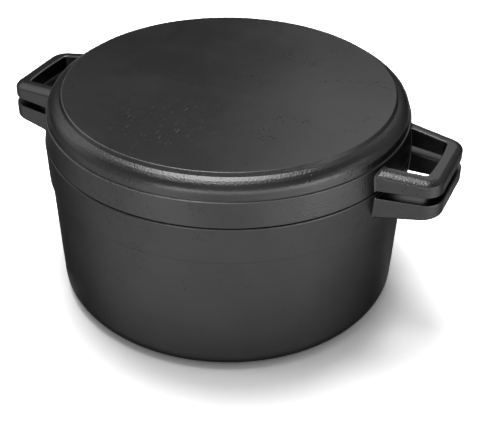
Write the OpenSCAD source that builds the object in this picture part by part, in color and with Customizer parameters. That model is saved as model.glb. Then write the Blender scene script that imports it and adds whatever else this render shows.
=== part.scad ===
// Cast-iron cooking pot whose lid is a shallow pan turned over. Pot and lid each have a loop handle
// on both sides, and the lid's handles lie over the pot's.
// The pot stands on z = 0 with its axis on Z, and the handles lie along X.

/* [Pot] */
// Height of the pot, from the ground to its rim
pot_h = 135; // [110:1:170]
// Outside diameter of the pot's rim
rim_d = 290.8; // [250:0.2:330]
// Depth of the thick band below the rim
band_h = 28; // [24:1:40]
// How much the band narrows towards its lower edge, on the radius
band_draft = 1.1; // [0:0.1:2]
// How far the wall steps in below the band
band_step = 1.7; // [0.5:0.1:3]
// Height of the slope that leads from the band to the wall
band_slope_h = 3.2; // [1:0.1:6]
// Taper of the wall below the band, in degrees
wall_taper = 2.5; // [1:0.1:5]
// Thickness of the wall
wall_t = 4.8; // [3.5:0.1:6]
// Thickness of the bottom
floor_t = 6; // [4:0.5:10]
// Radius of the bottom corner, outside
foot_r = 15; // [6:1:22]
// Radius of the bottom corner, inside
well_r = 11; // [4:1:20]

/* [Lid] */
// Height of the lid above the pot's rim
lid_h = 37; // [35:1:50]
// How far the pot's rim stands out past the lid's, on the radius
rim_reveal = 0.4; // [0:0.1:1]
// Height of the band round the lid's rim
lid_band_h = 20.3; // [18:0.1:21]
// How much the lid's band narrows upwards, on the radius
lid_band_draft = 1.7; // [0.5:0.1:3]
// Width of the ledge on top of the lid's band
ledge_w = 2; // [1.5:0.1:4]
// Radius of the shoulder between the lid's wall and its top
shoulder_r = 9.9; // [5:0.1:11]
// Height of the raised disc on the lid
disc_step_h = 2.7; // [1.5:0.1:3.5]
// Slope of the raised disc's edge, measured across
disc_slope_w = 1.2; // [0.8:0.1:3]
// Thickness of the lid's top
lid_top_t = 5.5; // [4:0.5:8]
// Radius of the corner inside the lid
pan_r = 9; // [4:1:14]
// Taper of the wall inside the lid, in degrees
pan_taper = 2; // [1:0.5:5]

/* [Seat of the lid] */
// How far the lid's lip reaches down into the pot
lip_h = 3.2; // [2:0.1:5]
// Thickness of the lip
lip_t = 3.5; // [2.5:0.1:5]
// Width of the seat cut inside the pot's rim
seat_w = 2; // [1:0.1:2.5]
// Clearance round the lip
lip_side_gap = 0.6; // [0.4:0.1:1.5]
// Clearance below the lip
lip_under_gap = 0.8; // [0.4:0.1:2]

/* [Handles] */
// How far the loops stand out from the pot's rim
loop_reach = 37.6; // [30:0.2:50]
// Width of a loop where it leaves the rim
loop_root_w = 83.4; // [75:0.2:110]
// Width of a loop at its outer end
loop_end_w = 70.8; // [65:0.2:74]
// Width of a loop's two arms, seen from above
arm_w = 11; // [8:0.5:14]
// Width of the grip bar across the end, seen from above
bar_w = 12.4; // [9:0.2:16]
// Radius of a loop's outer corners
loop_out_r = 14; // [6:1:20]
// Radius of the corners of the opening
loop_in_r = 3.5; // [1:0.5:6]
// Rounding along the top or bottom of the grip bar
bar_round_r = 3; // [1:0.5:5]
// Height of the lid's handles above the seam
lid_loop_gap = 1.7; // [1:0.1:3]
// Thickness of the lid's handles at the rim
lid_loop_root_t = 13.9; // [11:0.1:15]
// Thickness of the lid's handles at the end
lid_loop_end_t = 10.6; // [7:0.1:11]
// Depth of the pot's handles below the seam
pot_loop_gap = 4; // [2:0.1:6]
// Thickness of the pot's handles at the rim
pot_loop_root_t = 16.9; // [13:0.1:18]
// Thickness of the pot's handles at the end
pot_loop_end_t = 12; // [8:0.1:13]

/* [Edges] */
// Rounding of the two rims, which forms the groove of the seam
rim_edge_r = 1.2; // [0.5:0.1:1.5]
// Rounding of the lid's ledge
ledge_edge_r = 1; // [0.4:0.1:1.2]
// Rounding of the raised disc's edge
disc_edge_r = 0.6; // [0.3:0.1:1]

/* [Hidden] */
$fa = 2;
$fs = 1;
iron = "#3e3e3f";
iron_light = "#48484a";

// Cutters run past the faces they cut by this much
past = 1;
// Rounded corners turn by at most this many degrees from point to point
arc_step = 7.5;

// Pot, outside: radius at the rim, at the band's lower edge and where the wall starts
rim_r = rim_d / 2;
band_low_r = rim_r - band_draft;
wall_top_r = band_low_r - band_step;
band_low_z = pot_h - band_h;
wall_top_z = band_low_z - band_slope_h;
wall_low_r = wall_top_r - wall_top_z * tan(wall_taper);

// Pot, inside: the wall follows the outside, and a seat is cut at the rim for the lid's lip
seat_z = pot_h - lip_h - lip_under_gap;
function pot_in_r(z) = wall_low_r + z * tan(wall_taper) - wall_t / cos(wall_taper);
seat_r = pot_in_r(seat_z) + seat_w;

// Lid: radius of its rim, of the band's upper edge, of the wall and of the raised disc's foot
lid_rim_r = rim_r - rim_reveal;
lid_band_top_r = lid_rim_r - lid_band_draft;
lid_wall_r = lid_band_top_r - ledge_w;
disc_foot_r = lid_wall_r - shoulder_r;
disc_r = disc_foot_r - disc_slope_w;
ledge_z = pot_h + lid_band_h;
lid_top_z = pot_h + lid_h;
shoulder_z = lid_top_z - disc_step_h;
lip_out_r = seat_r - lip_side_gap;
lip_in_r = lip_out_r - lip_t;
lip_z = pot_h - lip_h;
pan_z = lid_top_z - lid_top_t;
function pan_in_r(z) = lip_in_r - (z - lip_z) * tan(pan_taper);

// Loops: their roots start well inside the wall, which cuts them to its own curve
root_depth = 20;
root_x = rim_r - root_depth;
end_x = rim_r + loop_reach;
loop_lean = (loop_root_w - loop_end_w) / 2 / loop_reach;
function loop_half_w(x) = loop_end_w / 2 + (end_x - x) * loop_lean;
function arm_in_w(x) = loop_half_w(x) - arm_w * sqrt(1 + loop_lean * loop_lean);

// Direction from one point to another, and half the angle that a corner p makes with its neighbours
function aim(from, to) = (to - from) / norm(to - from);
function half_angle(a, p, b) = acos(aim(p, a) * aim(p, b)) / 2;

// Points of an arc of radius r that rounds the corner p, on the way from a to b
function corner_arc(a, p, b, r) =
    let (
        half = half_angle(a, p, b),
        middle = aim(p, a) + aim(p, b),
        centre = p + middle / norm(middle) * r / sin(half),
        first = p + aim(p, a) * r / tan(half) - centre,
        side = sign(cross(p - a, b - p)),
        turn = side * (180 - 2 * half),
        steps = ceil(abs(turn) / arc_step)
    )
    [
        for (i = [0 : steps])
            let (angle = atan2(first.y, first.x) + turn * i / steps) centre + r * [cos(angle), sin(angle)]
    ];

// Outline through corners [x, y, radius]
module soft_outline(corners) {
    n = len(corners);
    spot = [for (c = corners) [c.x, c.y]];
    polygon([
        for (i = [0 : n - 1])
            each corners[i].z == 0
                ? [spot[i]]
                : corner_arc(spot[(i + n - 1) % n], spot[i], spot[(i + 1) % n], corners[i].z)
    ]);
}

// Half sections, from the axis outwards
module pot_outside() {
    soft_outline([
        [0, 0, 0],
        [wall_low_r, 0, foot_r],
        [wall_top_r, wall_top_z, 0],
        [band_low_r, band_low_z, 0],
        [rim_r, pot_h, rim_edge_r],
        [0, pot_h, 0],
    ]);
}

module pot_inside() {
    soft_outline([
        [0, floor_t, 0],
        [pot_in_r(floor_t), floor_t, well_r],
        [pot_in_r(seat_z), seat_z, 0],
        [seat_r, seat_z, 0],
        [seat_r, pot_h + past, 0],
        [0, pot_h + past, 0],
    ]);
}

module lid_outside() {
    soft_outline([
        [0, pot_h, 0],
        [lid_rim_r, pot_h, rim_edge_r],
        [lid_band_top_r, ledge_z, ledge_edge_r],
        [lid_wall_r, ledge_z, 0],
        [lid_wall_r, shoulder_z, shoulder_r],
        [disc_foot_r, shoulder_z, 0],
        [disc_r, lid_top_z, disc_edge_r],
        [0, lid_top_z, 0],
    ]);
}

module lid_lip() {
    translate([lip_in_r - past, lip_z]) square([lip_t + past, lip_h + past]);
}

module lid_inside() {
    soft_outline([
        [0, lip_z - past, 0],
        [pan_in_r(lip_z - past), lip_z - past, 0],
        [pan_in_r(pan_z), pan_z, pan_r],
        [0, pan_z, 0],
    ]);
}

// One loop seen from above, from inside the wall out to the grip bar
module loop_plan() {
    bar_in_x = end_x - bar_w;
    difference() {
        soft_outline([
            [root_x, -loop_half_w(root_x), 0],
            [end_x, -loop_half_w(end_x), loop_out_r],
            [end_x, loop_half_w(end_x), loop_out_r],
            [root_x, loop_half_w(root_x), 0],
        ]);
        soft_outline([
            [root_x - past, -arm_in_w(root_x - past), 0],
            [bar_in_x, -arm_in_w(bar_in_x), loop_in_r],
            [bar_in_x, arm_in_w(bar_in_x), loop_in_r],
            [root_x - past, arm_in_w(root_x - past), 0],
        ]);
    }
}

// A loop on +X whose flat face is at z = 0 and whose other face slopes, so that it thins towards the end
module loop(root_t, end_t) {
    slope = (root_t - end_t) / loop_reach;
    intersection() {
        linear_extrude(height = root_t + root_depth * slope + past) loop_plan();
        rotate([90, 0, 0])
            linear_extrude(height = 2 * loop_half_w(root_x) + 2 * past, center = true)
                soft_outline([
                    [root_x - past, 0, 0],
                    [end_x, 0, 0],
                    [end_x, end_t, bar_round_r],
                    [root_x - past, end_t + (end_x - root_x + past) * slope, 0],
                ]);
    }
}

module pot_handle() {
    difference() {
        translate([0, 0, pot_h - pot_loop_gap])
            rotate([180, 0, 0])
                loop(pot_loop_root_t, pot_loop_end_t);
        rotate_extrude() pot_outside();
    }
}

module lid_handle() {
    difference() {
        translate([0, 0, pot_h + lid_loop_gap]) loop(lid_loop_root_t, lid_loop_end_t);
        rotate_extrude() lid_outside();
    }
}

module pot_body() {
    color(iron)
        rotate_extrude()
            difference() {
                pot_outside();
                pot_inside();
            }
}

module lid_pan() {
    color(iron)
        rotate_extrude()
            difference() {
                union() {
                    lid_outside();
                    lid_lip();
                }
                lid_inside();
            }
}

module pot_handle_right() {
    color(iron_light) pot_handle();
}

module pot_handle_left() {
    color(iron_light) rotate([0, 0, 180]) pot_handle();
}

module lid_handle_right() {
    color(iron_light) lid_handle();
}

module lid_handle_left() {
    color(iron_light) rotate([0, 0, 180]) lid_handle();
}

pot_body();
pot_handle_left();
pot_handle_right();
lid_pan();
lid_handle_left();
lid_handle_right();
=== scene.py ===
"""Looks of a cast-iron cooking pot with a shallow pan turned over as its lid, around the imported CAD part."""

import math
from collections import namedtuple

import bmesh
import bpy
from mathutils import Matrix, Vector


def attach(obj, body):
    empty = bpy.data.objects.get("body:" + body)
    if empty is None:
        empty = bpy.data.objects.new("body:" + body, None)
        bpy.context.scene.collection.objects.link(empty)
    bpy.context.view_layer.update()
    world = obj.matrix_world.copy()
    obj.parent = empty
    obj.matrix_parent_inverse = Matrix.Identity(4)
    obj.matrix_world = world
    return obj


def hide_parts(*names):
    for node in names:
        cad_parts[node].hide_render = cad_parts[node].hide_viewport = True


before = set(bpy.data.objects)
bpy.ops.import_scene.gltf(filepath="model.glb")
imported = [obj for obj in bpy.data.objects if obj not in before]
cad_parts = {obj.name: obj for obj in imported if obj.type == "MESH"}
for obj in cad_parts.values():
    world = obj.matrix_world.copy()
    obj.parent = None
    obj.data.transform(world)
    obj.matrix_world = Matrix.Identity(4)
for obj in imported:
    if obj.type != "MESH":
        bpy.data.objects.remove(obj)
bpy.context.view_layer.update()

MM = 0.001

# The pot, in millimetres: heights above the ground and radii from the axis
RIM_R, RIM_Z = 145.4, 135.0
BAND_LOW_R, BAND_LOW_Z, BAND_UNDER_Z = 144.3, 105.5, 105.1
WALL_LEAN = math.radians(2.5)
WALL_TAPER = math.tan(WALL_LEAN)
WALL_LOW_R, WALL_T = 138.07, 4.8 / math.cos(WALL_LEAN)
BOTTOM_ROUND = 15
FLOOR_Z, FLOOR_ROUND = 6.0, 11
SEAT_Z, SEAT_R = 131.0, 140.98

# The lid
LID_RIM_R = 145.0
# The ledge and the disc's edge get a lighter colour: partly wear, partly painted highlight lines.
LEDGE_R, LEDGE_Z, LEDGE_WEAR_AND_HIGHLIGHT = 143.3, 155.8, 0.9
LID_WALL_FOOT_R, LID_WALL_R = 142.0, 141.1
DISC_FOOT_R, DISC_FOOT_Z = 131.9, 169.3
DISC_R, LID_TOP_Z, DISC_WEAR_AND_HIGHLIGHT = 130.2, 172.0, 0.85
UPPER_SLOPE, LOWER_SLOPE = math.radians(18), math.radians(35)
SLOPE_R, SLOPE_ROUND = 135.5, 14
SLOPE_Z = DISC_FOOT_Z - (SLOPE_R - DISC_FOOT_R) * math.tan(UPPER_SLOPE)
SHOULDER_Z = SLOPE_Z - (LID_WALL_R - SLOPE_R) * math.tan(LOWER_SLOPE)
SHOULDER_ROUND = 8.8
LIP_OUT_R, LIP_IN_R, LIP_Z = 140.38, 136.88, 131.8
PAN_Z, PAN_ROUND = 166.5, 9.0
PAN_TAPER = math.tan(math.radians(2))

# The loop handles, for one on +X. The lean comes from half the widths at the root and the end, and the reach.
LOOP_X, LOOP_HALF_END = 183.0, 36.7
LOOP_LEAN = (41.7 - 35.4) / 37.6
ARM_W = 12.3 * math.sqrt(1 + LOOP_LEAN**2)
ARM_ROOT_X, ARM_SUNK = 140, 1.5
BAR_W, BAR_BOW = 12.4, 1.1
CORNER_IN_R = 3.5
FILLET_R = 0.9

# Section of a loop. A crown is the step at its outer side and its arcs, each with radius and angles in degrees.
LID_ARM_CROWN = 3.5, ((1.2, 15, 60), (19.5, 60, 84))
LID_BAR_CROWN = 2.7, ((1.2, 15, 60), (11, 60, 84))
POT_LOOP_CROWN = 1.6, ((1.2, 20, 70), (8, 70, 86))
FACE_EDGE_R, FLAT_EDGE_R = 0.5, 0.8
INNER_EDGE_R, INNER_DRAFT = 1.3, 1.2
# The loops' inner edges get a lighter colour: partly wear, partly painted highlight lines.
SHAPED_EDGE_WEAR_AND_HIGHLIGHT, FLAT_EDGE_WEAR_AND_HIGHLIGHT = 0.6, 0.5

LoopShape = namedtuple("LoopShape", "flat_z up root_t end_t end_x corner_r arm_crown bar_crown")
POT_LOOP = LoopShape(131.0, -1, 16.9, 12.4, 183.9, 15.5, POT_LOOP_CROWN, POT_LOOP_CROWN)
LID_LOOP = LoopShape(137.1, 1, 14.3, 11.0, 183.0, 14.0, LID_ARM_CROWN, LID_BAR_CROWN)

# Fineness of the meshes
TURNS = 288
ARC_STEP, CORNER_STEP = 9.0, 5
LONG_FLAT, FLAT_MARGIN = 2, 0.35
EDGE_MARGIN, FACE_MARGIN = 0.4, 0.3
SMALL_ARC_R, SMALL_ARC_STEPS, ARC_STEPS = 5, 3, 9


def arc_at(before, corner, after, radius, step=ARC_STEP):
    """Points of an arc that rounds a corner of an outline."""
    p, a, b = Vector(corner), Vector(before), Vector(after)
    to_a, to_b = (a - p).normalized(), (b - p).normalized()
    half = to_a.angle(to_b) / 2
    centre = p + (to_a + to_b).normalized() * radius / math.sin(half)
    first = p + to_a * radius / math.tan(half) - centre
    turn = math.copysign(math.pi - 2 * half, (p - a).cross(b - p))
    steps = max(2, math.ceil(abs(math.degrees(turn)) / step))
    return [centre + Matrix.Rotation(turn * i / steps, 2) @ first for i in range(steps + 1)]


def rounded_line(corners):
    """A half section of points (radius from the axis, height, wear and painted highlight).

    It runs through corners (radius, height, rounding, wear and painted highlight). Extra points next to the
    corners keep the flats flat and the wear and painted highlight on the edges.
    """
    line = []
    for i, (r, z, rounding, wear_and_highlight) in enumerate(corners):
        if rounding == 0:
            line.append(Vector((r, z, wear_and_highlight)))
        else:
            arc = arc_at(corners[i - 1][:2], (r, z), corners[i + 1][:2], rounding)
            line += [Vector((*p, wear_and_highlight)) for p in arc]
    kept = [line[0]]
    for a, b in zip(line, line[1:]):
        length = (b - a).xy.length
        if length > LONG_FLAT:
            shares = FLAT_MARGIN / length, 1 - FLAT_MARGIN / length
            kept += [Vector((*a.lerp(b, share).xy, 0)) for share in shares]
        kept.append(b)
    return kept


def new_piece(name, verts, faces, wear_and_highlight, finish):
    mesh = bpy.data.meshes.new(name)
    mesh.from_pydata([Vector(v) * MM for v in verts], [], faces)
    shell = bmesh.new()
    shell.from_mesh(mesh)
    bmesh.ops.recalc_face_normals(shell, faces=shell.faces)
    shell.to_mesh(mesh)
    shell.free()
    mesh.polygons.foreach_set("use_smooth", [True] * len(mesh.polygons))
    # Per point share of the lighter edge colour, partly wear and partly painted highlight.
    mesh.attributes.new("wear_and_highlight", "FLOAT", "POINT").data.foreach_set("value", wear_and_highlight)
    mesh.materials.append(finish)
    piece = bpy.data.objects.new(name, mesh)
    bpy.context.scene.collection.objects.link(piece)
    return piece


def turned(name, section, finish):
    """A closed piece turned about Z from a half section that starts and ends on the axis."""
    rings = section[1:-1]
    spin = [(math.cos(math.tau * k / TURNS), math.sin(math.tau * k / TURNS)) for k in range(TURNS)]
    verts = [(0, 0, section[0].y)]
    verts += [(ring.x * c, ring.x * s, ring.y) for ring in rings for c, s in spin]
    verts.append((0, 0, section[-1].y))
    faces = []
    last = 1 + (len(rings) - 1) * TURNS
    for k in range(TURNS):
        n = (k + 1) % TURNS
        faces.append((0, 1 + n, 1 + k))
        for low in range(1, last, TURNS):
            high = low + TURNS
            faces.append((low + k, low + n, high + n, high + k))
        faces.append((last + k, last + n, len(verts) - 1))
    wear_and_highlight = [0] + [ring.z for ring in rings for _ in spin] + [0]
    return new_piece(name, verts, faces, wear_and_highlight, finish)


def pot_wall_in(z):
    return WALL_LOW_R + z * WALL_TAPER - WALL_T


def pot_section():
    return rounded_line([
        (0, 0, 0, 0),
        (WALL_LOW_R, 0, BOTTOM_ROUND, 0),
        (WALL_LOW_R + BAND_UNDER_Z * WALL_TAPER, BAND_UNDER_Z, 0.3, 0),
        (BAND_LOW_R, BAND_LOW_Z, 0.6, 0),
        (RIM_R, RIM_Z, 1.2, 0),
        (SEAT_R, RIM_Z, 0.6, 0),
        (SEAT_R, SEAT_Z, 0.5, 0),
        (pot_wall_in(SEAT_Z), SEAT_Z, 0.8, 0),
        (pot_wall_in(FLOOR_Z), FLOOR_Z, FLOOR_ROUND, 0),
        (0, FLOOR_Z, 0, 0),
    ])


def lid_section():
    return rounded_line([
        (0, PAN_Z, 0, 0),
        (LIP_IN_R - (PAN_Z - LIP_Z) * PAN_TAPER, PAN_Z, PAN_ROUND, 0),
        (LIP_IN_R, LIP_Z, 0.8, 0),
        (LIP_OUT_R, LIP_Z, 0.8, 0),
        (LIP_OUT_R, RIM_Z, 0.4, 0),
        (LID_RIM_R, RIM_Z, 1.2, 0),
        (LEDGE_R, LEDGE_Z, 0.6, LEDGE_WEAR_AND_HIGHLIGHT),
        (LID_WALL_FOOT_R, LEDGE_Z, 0.4, 0),
        (LID_WALL_R, SHOULDER_Z, SHOULDER_ROUND, 0),
        (SLOPE_R, SLOPE_Z, SLOPE_ROUND, 0),
        (DISC_FOOT_R, DISC_FOOT_Z, 0.4, 0),
        (DISC_R, LID_TOP_Z, 0.8, DISC_WEAR_AND_HIGHLIGHT),
        (0, LID_TOP_Z, 0, 0),
    ])


def loop_section(step, arcs):
    """Points (side, distance in, face, depth, wear and painted highlight) round a loop's section.

    Each is measured from the outer or inner side, and from the flat or the shaped face. The shaped face has a
    crown of arcs above a step on the outer side.
    """
    quarter = [math.radians(a) for a in (0, 15, 30, 45, 60, 75, 90)]

    def edge(side, radius, face, shift=0.0, drop=0.0, wear_and_highlight=0.0):
        """The quarter round of an edge, from its side to its face."""
        return [
            (side, shift + radius * (1 - math.cos(a)), face, drop + radius * (1 - math.sin(a)), wear_and_highlight)
            for a in quarter
        ]

    flat_in = FLAT_EDGE_R + EDGE_MARGIN
    points = edge("outer", FLAT_EDGE_R, "flat")[::-1]
    points.append(("outer", 0, "flat", flat_in, 0))
    points.append(("outer", 0, "shaped", step + FACE_EDGE_R + EDGE_MARGIN, 0))
    points += edge("outer", FACE_EDGE_R, "shaped", drop=step)
    across = FACE_EDGE_R
    depth = sum(r * (math.sin(math.radians(top)) - math.sin(math.radians(low))) for r, low, top in arcs)
    for r, low, top in arcs:
        steps = SMALL_ARC_STEPS if r < SMALL_ARC_R else ARC_STEPS
        angles = [math.radians(low + (top - low) * i / steps) for i in range(steps + 1)]
        middle = across + r * math.cos(angles[0]), depth + r * math.sin(angles[0])
        arc = [(middle[0] - r * math.cos(a), middle[1] - r * math.sin(a)) for a in angles]
        points += [("outer", inward, "shaped", down, 0) for inward, down in arc[:-1]]
        across, depth = arc[-1]
    points.append(("outer", across, "shaped", 0, 0))
    points.append(("outer", across + EDGE_MARGIN, "shaped", 0, 0))
    points.append(("inner", INNER_EDGE_R + FACE_MARGIN, "shaped", 0, 0))
    points += edge("inner", INNER_EDGE_R, "shaped", wear_and_highlight=SHAPED_EDGE_WEAR_AND_HIGHLIGHT)[::-1]
    points.append(("inner", 0, "shaped", INNER_EDGE_R + EDGE_MARGIN, 0))
    points.append(("inner", -INNER_DRAFT, "flat", flat_in, 0))
    points += edge("inner", FLAT_EDGE_R, "flat", shift=-INNER_DRAFT, wear_and_highlight=FLAT_EDGE_WEAR_AND_HIGHLIGHT)
    points.append(("inner", flat_in - INNER_DRAFT, "flat", 0, 0))
    points.append(("outer", flat_in, "flat", 0, 0))
    return points


def outer_y(x):
    return LOOP_HALF_END + (LOOP_X - x) * LOOP_LEAN


def inner_y(x):
    return outer_y(x) - ARM_W


def loop_stations(end_x, corner_r):
    """Outer and inner points along half a loop, from the end of one arm's straight to the middle of the bar.

    The third value is how far the section has turned from the arm's to the bar's.
    """
    bar_in = end_x - BAR_W
    bar_middle, bar_middle_in = Vector((end_x, 0)), Vector((bar_in, 0))
    outer_root, inner_root = (ARM_ROOT_X, -outer_y(ARM_ROOT_X)), (ARM_ROOT_X, -inner_y(ARM_ROOT_X))
    outer = arc_at(outer_root, (end_x, -outer_y(end_x)), bar_middle, corner_r, CORNER_STEP)
    inner = arc_at(inner_root, (bar_in, -inner_y(bar_in)), bar_middle_in, CORNER_IN_R, CORNER_STEP)
    stations = [(a, b, i / (len(outer) - 1)) for i, (a, b) in enumerate(zip(outer, inner))]
    for share in (0.03, 0.15, 0.3, 0.5, 0.75, 1):
        bow = Vector((BAR_BOW * (1 - (1 - share) ** 2), 0))
        bar_outer, bar_inner = outer[-1].lerp(bar_middle, share), inner[-1].lerp(bar_middle_in, share)
        stations.append((bar_outer, bar_inner + bow, 1))
    return stations


def section_between(p, q, share):
    """A section point on the way from an arm's section to the bar's."""
    side, across, face, depth, wear_and_highlight = p
    return side, across + (q[1] - across) * share, face, depth + (q[3] - depth) * share, wear_and_highlight


def loop(name, shape, wall_r, turn, finish):
    """A loop handle. Its shaped face lies above its flat face (up 1) or below it (up -1)."""
    section, bar_section = loop_section(*shape.arm_crown), loop_section(*shape.bar_crown)
    thinning = (shape.root_t - shape.end_t) / (LOOP_X - RIM_R)

    def spot(outer, inner, point, grow=0.0):
        side, across, face, depth, _ = point
        width = (inner - outer).length
        share = (across - grow if side == "outer" else width + grow - across) / width
        place = outer.lerp(inner, share)
        thick = shape.root_t - (place.x - RIM_R) * thinning
        level = depth - grow if face == "flat" else thick + grow - depth
        return Vector((place.x, place.y, shape.flat_z + shape.up * level))

    def arm_spot(distance, point, grow):
        """A point of the arm at a distance from the wall, which is round."""
        x = RIM_R
        for _ in range(6):
            outer = Vector((x, -outer_y(x)))
            found = spot(outer, outer + Vector((0, ARM_W)), point, grow)
            x = math.sqrt((wall_r(found.z) + distance) ** 2 - found.y**2)
        return found

    root = [[arm_spot(-ARM_SUNK, p, FILLET_R) for p in section]]
    for a in (90, 70, 50, 30, 15, 0):
        a = math.radians(a)
        root.append([arm_spot(FILLET_R * (1 - math.sin(a)), p, FILLET_R * (1 - math.cos(a))) for p in section])
    corner = []
    for outer, inner, share in loop_stations(shape.end_x, shape.corner_r):
        corner.append([spot(outer, inner, section_between(p, q, share)) for p, q in zip(section, bar_section)])
    arm = [[arm_spot(FILLET_R + EDGE_MARGIN, p, 0) for p in section]]
    for share in (0.33, 0.66, 0.97):
        arm.append([a.lerp(b, share) for a, b in zip(arm[0], corner[0])])
    half = root + arm + corner
    rings = half + [[Vector((v.x, -v.y, v.z)) for v in ring] for ring in reversed(half[:-1])]
    count = len(section)
    verts = [Matrix.Rotation(turn, 3, "Z") @ v for ring in rings for v in ring]
    faces = [tuple(range(count)), tuple((len(rings) - 1) * count + j for j in range(count))]
    for i in range(len(rings) - 1):
        for j in range(count):
            n = (j + 1) % count
            faces.append((i * count + j, i * count + n, (i + 1) * count + n, (i + 1) * count + j))
    return new_piece(name, verts, faces, [p[-1] for p in section] * len(rings), finish)


class Field:
    """A shader value that can be used in sums: each operator adds a Math node to its tree."""

    def __init__(self, tree, socket):
        self.tree, self.socket = tree, socket

    def _with(self, operation, *values):
        return self.tree.node("Math", {"operation": operation}, dict(enumerate(values)))

    def __add__(self, other):
        return self._with("ADD", self, other)

    def __radd__(self, other):
        return self._with("ADD", other, self)

    def __sub__(self, other):
        return self._with("SUBTRACT", self, other)

    def __rsub__(self, other):
        return self._with("SUBTRACT", other, self)

    def __mul__(self, other):
        return self._with("MULTIPLY", self, other)

    def __rmul__(self, other):
        return self._with("MULTIPLY", other, self)

    def at_most(self, other):
        return self._with("MINIMUM", self, other)

    def between(self, low, high):
        """0 below low, 1 above high, and a smooth rise between them."""
        sockets = {"Value": self, "From Min": low, "From Max": high}
        return self.tree.node("MapRange", {"interpolation_type": "SMOOTHSTEP"}, sockets)


class Tree:
    """The nodes of a material or of the world."""

    def __init__(self, owner):
        owner.use_nodes = True
        self.nodes, self.links = owner.node_tree.nodes, owner.node_tree.links
        self.nodes.clear()

    def node(self, kind, settings=None, sockets=None, out=0):
        made = self.nodes.new("ShaderNode" + kind)
        for key, value in (settings or {}).items():
            setattr(made, key, value)
        for key, value in (sockets or {}).items():
            if isinstance(value, Field):
                self.links.new(value.socket, made.inputs[key])
            else:
                made.inputs[key].default_value = value
        return Field(self, made.outputs[out]) if made.outputs else None

    def mix(self, share, a, b):
        """A colour between a and b."""
        return self.node("Mix", {"data_type": "RGBA"}, {0: share, 6: a, 7: b}, 2)


def grey(level):
    return level, level, level, 1


# Finish of the iron. Tones are shares of the iron's own, and lengths are in metres.
# The lighter edge tone is partly wear and partly painted highlight lines.
OIL_TONES, PIT_TONE, NICK_TONE, WORN_AND_HIGHLIT_TONE = (0.95, 1.05), 0.5, 2.0, 2.2
SATIN, EDGE_GLOSS = 0.3, 0.34
RELIEF = 0.00003
# From a given X on, the lighter edges are painted dimmer, as painted shade on that side.
NICKED, PAINTED_DIM_SIDE_FROM = (0.02, 0.055), (0.03, 0.09)
SLOPED, LEVEL = (0.45, 0.75), (0.96, 0.99)


def cast_iron(name, tone, knocked):
    """Seasoned iron as it leaves a fine sand mould: satin, with grain, a few pits and soft patches of oil.

    Round one place it has nicks from use. Its edges are lighter, partly from wear and partly as painted
    highlight lines, which are painted dimmer towards +X as shade.
    """
    material = bpy.data.materials.new(name)
    tree = Tree(material)
    place = tree.node("TexCoord", out="Object")
    sand = tree.node("TexNoise", {}, {"Vector": place, "Scale": 750, "Detail": 1, "Roughness": 0.5})
    swell = tree.node("TexNoise", {}, {"Vector": place, "Scale": 90, "Detail": 2, "Roughness": 0.5})
    patch = tree.node("TexNoise", {}, {"Vector": place, "Scale": 16, "Detail": 3, "Roughness": 0.6})
    rare = tree.node("TexNoise", {}, {"Vector": place, "Scale": 45, "Detail": 2, "Roughness": 0.6})
    cell = tree.node("TexVoronoi", {"feature": "F1"}, {"Vector": place, "Scale": 320})
    pit = (1 - cell.between(0.12, 0.38)) * rare.between(0.56, 0.64)
    drawn = tree.node("Mapping", {}, {"Vector": place, "Rotation": (0.2, 0.1, 0.5), "Scale": (900, 150, 500)})
    streak = tree.node("TexNoise", {}, {"Vector": drawn, "Scale": 1, "Detail": 1, "Roughness": 0.5})
    off = tree.node("VectorMath", {"operation": "DISTANCE"}, {0: place, 1: knocked}, "Value")
    nick = streak.between(0.67, 0.73) * (1 - off.between(*NICKED))
    # Painted shade: the lighter edge lines fade towards +X.
    painted_dim_side = tree.node("SeparateXYZ", {}, {0: place}, "X").between(*PAINTED_DIM_SIDE_FROM)
    # Lighter edges: partly wear, partly painted highlight lines along the edges.
    worn_and_highlit = tree.node("Attribute", {"attribute_name": "wear_and_highlight"}, out="Fac") * (0.5 + sand) * (1 - painted_dim_side * 0.8)
    oil = patch.between(0.35, 0.7)
    colour = tree.mix(oil, grey(tone * OIL_TONES[0]), grey(tone * OIL_TONES[1]))
    colour = tree.mix(pit * 0.5, colour, grey(tone * PIT_TONE))
    colour = tree.mix(nick, colour, grey(tone * NICK_TONE))
    colour = tree.mix(worn_and_highlit, colour, grey(tone * WORN_AND_HIGHLIT_TONE))
    facing = tree.node("SeparateXYZ", {}, {0: tree.node("TexCoord", out="Normal")}, "Z")
    level = facing.between(*LEVEL)
    sloped = facing.between(*SLOPED) - level
    grain = sand * (0.8 + sloped * 0.15 - level * 0.6)
    height = grain * 7.0 + swell * 1.5 - pit * 3.0 - nick * 3.0
    normal = tree.node("Bump", {}, {"Strength": 1.0, "Distance": RELIEF, "Height": height})
    shader = tree.node("BsdfPrincipled", {}, {
        "Base Color": colour,
        "Metallic": 1.0,
        "Roughness": SATIN + (oil - 0.5) * 0.04 + (sand - 0.5) * 0.05,
        "Specular Tint": grey(EDGE_GLOSS),
        "Normal": normal,
    })
    tree.node("OutputMaterial", {}, {"Surface": shader})
    return material


POT_TONE, POT_KNOCKED = 0.06, (0.03, 0.02, 0.006)
LID_TONE, LID_KNOCKED = 0.061, (-0.018, -0.08, 0.172)
pot_iron = cast_iron("pot_seasoned_iron", POT_TONE, POT_KNOCKED)
lid_iron = cast_iron("lid_seasoned_iron", LID_TONE, LID_KNOCKED)


def pot_band_r(z):
    return BAND_LOW_R + (z - BAND_LOW_Z) * (RIM_R - BAND_LOW_R) / (RIM_Z - BAND_LOW_Z)


def lid_band_r(z):
    return LID_RIM_R - (z - RIM_Z) * (LID_RIM_R - LEDGE_R) / (LEDGE_Z - RIM_Z)


def seat_piece(piece, body, node):
    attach(piece, body)
    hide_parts(node)


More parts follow.
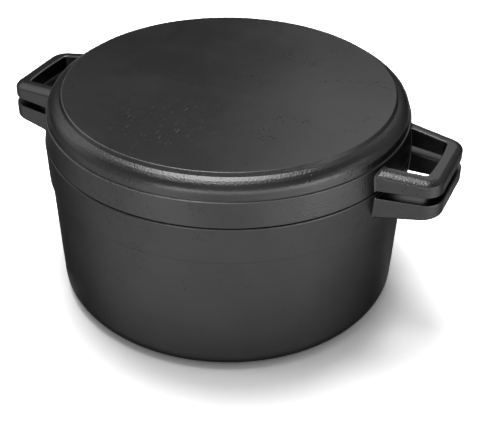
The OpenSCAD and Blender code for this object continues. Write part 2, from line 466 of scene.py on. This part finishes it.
seat_piece(turned("pot_shell", pot_section(), pot_iron), "pot", "pot_body")
seat_piece(turned("lid_shell", lid_section(), lid_iron), "lid", "lid_pan")
for side, turn in (("right", 0), ("left", math.pi)):
    pot_loop = loop(f"pot_loop_{side}", POT_LOOP, pot_band_r, turn, pot_iron)
    seat_piece(pot_loop, "pot", f"pot_handle_{side}")
    lid_loop = loop(f"lid_loop_{side}", LID_LOOP, lid_band_r, turn, lid_iron)
    seat_piece(lid_loop, "lid", f"lid_handle_{side}")


# The studio is laid out as the camera sees it: right, away from it and up, in metres
VIEW_TURN = Matrix.Rotation(math.radians(24.53), 4, "Z")
POT_MIDDLE = Vector((0, 0, 0.1))
PANEL_DISTANCE = 2

# The camera: angles in radians, and in pixels of the image its focal length and the row of its axis
VIEW_TILT, VIEW_ROLL = 0.5633, 0.0131
VIEW_AIM, VIEW_DISTANCE = Vector((0.00951, 0, 0.085)), 0.86458
IMAGE_W, IMAGE_H = 480, 423
FOCAL, AXIS_ROW = 1045.5, 178.567
SENSOR_W = 36

# The floor: its rim turns up, and towards the far side it is white
FLOOR_SIDES = 96
FLOOR_SWEEP = (2.8, 0), (3.1, 0.05), (3.4, 0.2), (3.6, 0.45), (3.75, 0.9), (3.8, 1.6)
FLOOR_TONE, MIRRORED_TONE, PAPER_TONE = 0.5, 0.9, 1.8
MIRRORED_GLOW, PAPER_GLOW = 0.2, 0.02
FAR = 0.55, 1.3
WORLD_LEVEL = 0.26

# The dark cards: the outline of the right one, before it is moved away
DARK_CARD_OUTLINE = (0.143, -0.05), (0.19, -0.005), (0.32, 0.09), (0.32, 0.34), (0.143, 0.34)
RIGHT_CARD_AWAY = 0.035
DARK_CARD_Z, DARK_CARD_TONE = 0.001, 0.19


def studio(right, away, up):
    return VIEW_TURN @ Vector((right, away, up))


def add_camera():
    back = Vector((0, -math.cos(VIEW_TILT), math.sin(VIEW_TILT)))
    data = bpy.data.cameras.new("camera")
    data.sensor_width = SENSOR_W
    data.lens = SENSOR_W * FOCAL / IMAGE_W
    data.shift_y = (AXIS_ROW - IMAGE_H / 2) / IMAGE_W
    camera = bpy.data.objects.new("camera", data)
    turn = Matrix.Rotation(math.pi / 2 - VIEW_TILT, 4, "X") @ Matrix.Rotation(VIEW_ROLL, 4, "Z")
    camera.matrix_world = VIEW_TURN @ Matrix.Translation(VIEW_AIM + back * VIEW_DISTANCE) @ turn
    bpy.context.scene.collection.objects.link(camera)
    bpy.context.scene.camera = camera


def add_lamp(name, place, size, watts, floor=False, iron=True):
    """A soft panel that faces the pot and shines on the floor, in the iron or on both."""
    data = bpy.data.lights.new(name, "AREA")
    data.shape = "ELLIPSE" if floor else "RECTANGLE"
    data.size, data.size_y = size
    data.energy = watts
    lamp = bpy.data.objects.new(name, data)
    facing = (studio(*place) - POT_MIDDLE).normalized()
    overhead = facing.z > 0.9
    upright = studio(0, 1, 0) if overhead else Vector((0, 0, 1))
    across = upright.cross(facing).normalized()
    turn = Matrix((across, facing.cross(across), facing)).transposed().to_4x4()
    lamp.matrix_world = Matrix.Translation(studio(*place)) @ turn
    lamp.visible_camera = False
    lamp.visible_diffuse, lamp.visible_glossy = floor, iron
    bpy.context.scene.collection.objects.link(lamp)


def around(azimuth, height):
    """A panel's place, by degrees to the right of straight away and degrees above the pot's middle."""
    a, h = math.radians(azimuth), math.radians(height)
    level = PANEL_DISTANCE * math.cos(h)
    return level * math.sin(a), level * math.cos(a), POT_MIDDLE.z + PANEL_DISTANCE * math.sin(h)


def glowing(tree, tone, glow):
    """A matt paper that also glows by itself."""
    matt = tree.node("BsdfDiffuse", {}, {"Color": grey(tone)})
    light = tree.node("Emission", {}, {"Color": grey(1), "Strength": glow})
    return tree.node("AddShader", {}, {0: matt, 1: light})


def add_floor():
    """A round sheet of pale paper that turns up far behind the pot."""
    material = bpy.data.materials.new("pale_floor")
    tree = Tree(material)
    shown = tree.node("LightPath", out="Is Glossy Ray") + tree.node("LightPath", out="Is Transmission Ray")
    seen = tree.node("LightPath", out="Is Camera Ray")
    place = tree.node("TexCoord", out="Object")
    far = tree.node("VectorMath", {"operation": "LENGTH"}, {0: place}, "Value").between(*FAR)
    plain = tree.node("BsdfDiffuse", {}, {"Color": grey(FLOOR_TONE)})
    white = tree.node("Emission", {}, {"Color": grey(1), "Strength": 1.0})
    mirrored = glowing(tree, MIRRORED_TONE, MIRRORED_GLOW)
    paper = tree.node("MixShader", {}, {0: far, 1: glowing(tree, PAPER_TONE, PAPER_GLOW), 2: white})
    shader = tree.node("MixShader", {}, {0: shown.at_most(1), 1: plain, 2: mirrored})
    shader = tree.node("MixShader", {}, {0: seen, 1: shader, 2: paper})
    tree.node("OutputMaterial", {}, {"Surface": shader})
    places, faces = [], [tuple(range(FLOOR_SIDES))]
    for r, z in FLOOR_SWEEP:
        for i in range(FLOOR_SIDES):
            turn = math.tau * i / FLOOR_SIDES
            places.append((r * math.cos(turn), r * math.sin(turn), z))
    for i in range(len(places) - FLOOR_SIDES):
        beside = i - i % FLOOR_SIDES + (i + 1) % FLOOR_SIDES
        faces.append((i, beside, beside + FLOOR_SIDES, i + FLOOR_SIDES))
    mesh = bpy.data.meshes.new("floor")
    mesh.from_pydata(places, [], faces)
    mesh.materials.append(material)
    floor = bpy.data.objects.new("floor", mesh)
    bpy.context.scene.collection.objects.link(floor)


def add_dark_card(name, corners):
    """A dark card that lies beside the pot and shows only in the iron, where it draws a dark edge."""
    material = bpy.data.materials.new("dark_card")
    tree = Tree(material)
    matt = tree.node("BsdfDiffuse", {}, {"Color": grey(DARK_CARD_TONE)})
    tree.node("OutputMaterial", {}, {"Surface": matt})
    mesh = bpy.data.meshes.new(name)
    places = [studio(right, away, DARK_CARD_Z) for right, away in corners]
    mesh.from_pydata(places, [], [tuple(range(len(places)))])
    mesh.materials.append(material)
    card = bpy.data.objects.new(name, mesh)
    card.visible_camera = card.visible_diffuse = card.visible_shadow = False
    bpy.context.scene.collection.objects.link(card)


def add_world():
    world = bpy.data.worlds.new("studio")
    bpy.context.scene.world = world
    tree = Tree(world)
    light = tree.node("Background", {}, {"Color": grey(1), "Strength": WORLD_LEVEL})
    tree.node("OutputWorld", {}, {"Surface": light})


add_camera()
add_floor()
add_world()
add_dark_card("dark_card_left", [(-right, away) for right, away in DARK_CARD_OUTLINE])
add_dark_card("dark_card_right", [(right, away + RIGHT_CARD_AWAY) for right, away in DARK_CARD_OUTLINE])

# Lamps: name, place, size in metres and watts
add_lamp("softbox_above", (-0.1, 0.33, 1.57), (0.96, 0.8), 18.5, floor=True)
add_lamp("softbox_above_front", (-0.26, -0.22, 1.57), (0.85, 0.3), 2.0, floor=True)
add_lamp("softbox_floor", (-0.2, 0.1, 1.57), (1.2, 1.2), 5, floor=True, iron=False)
add_lamp("panel_front", around(180, 45), (2.4, 1.5), 3.2)
add_lamp("panel_front_left", around(262, 22), (2.9, 1.75), 4.4)
add_lamp("panel_left", around(294, 22), (1.4, 0.75), 2.4)
add_lamp("panel_back_left", around(312, 40), (1.2, 1.0), 6.0)
add_lamp("panel_back", around(4, 27), (1.6, 0.95), 2.4)
add_lamp("panel_back_right", around(20, 33), (1.0, 1.0), 5.0)
add_lamp("panel_right_back", around(52, 36), (1.2, 1.2), 1.4)
add_lamp("panel_right", around(100, 30), (0.9, 0.9), 2.4)
add_lamp("strip_front_right", around(130, 9), (1.3, 0.84), 12.4)
add_lamp("strip_front", around(170, 9), (1.2, 0.84), 6.8)
add_lamp("strip_front_left", around(205, 9), (1.0, 0.84), 9)
add_lamp("card_right", (0.33, -0.24, 0.05), (0.22, 0.12), 0.09)
add_lamp("card_front_right", (0.22, -0.36, 0.05), (0.22, 0.12), 0.05)
add_lamp("card_front_left", (-0.22, -0.36, 0.05), (0.22, 0.12), 0.05)

bpy.context.scene.view_settings.view_transform = "Standard"
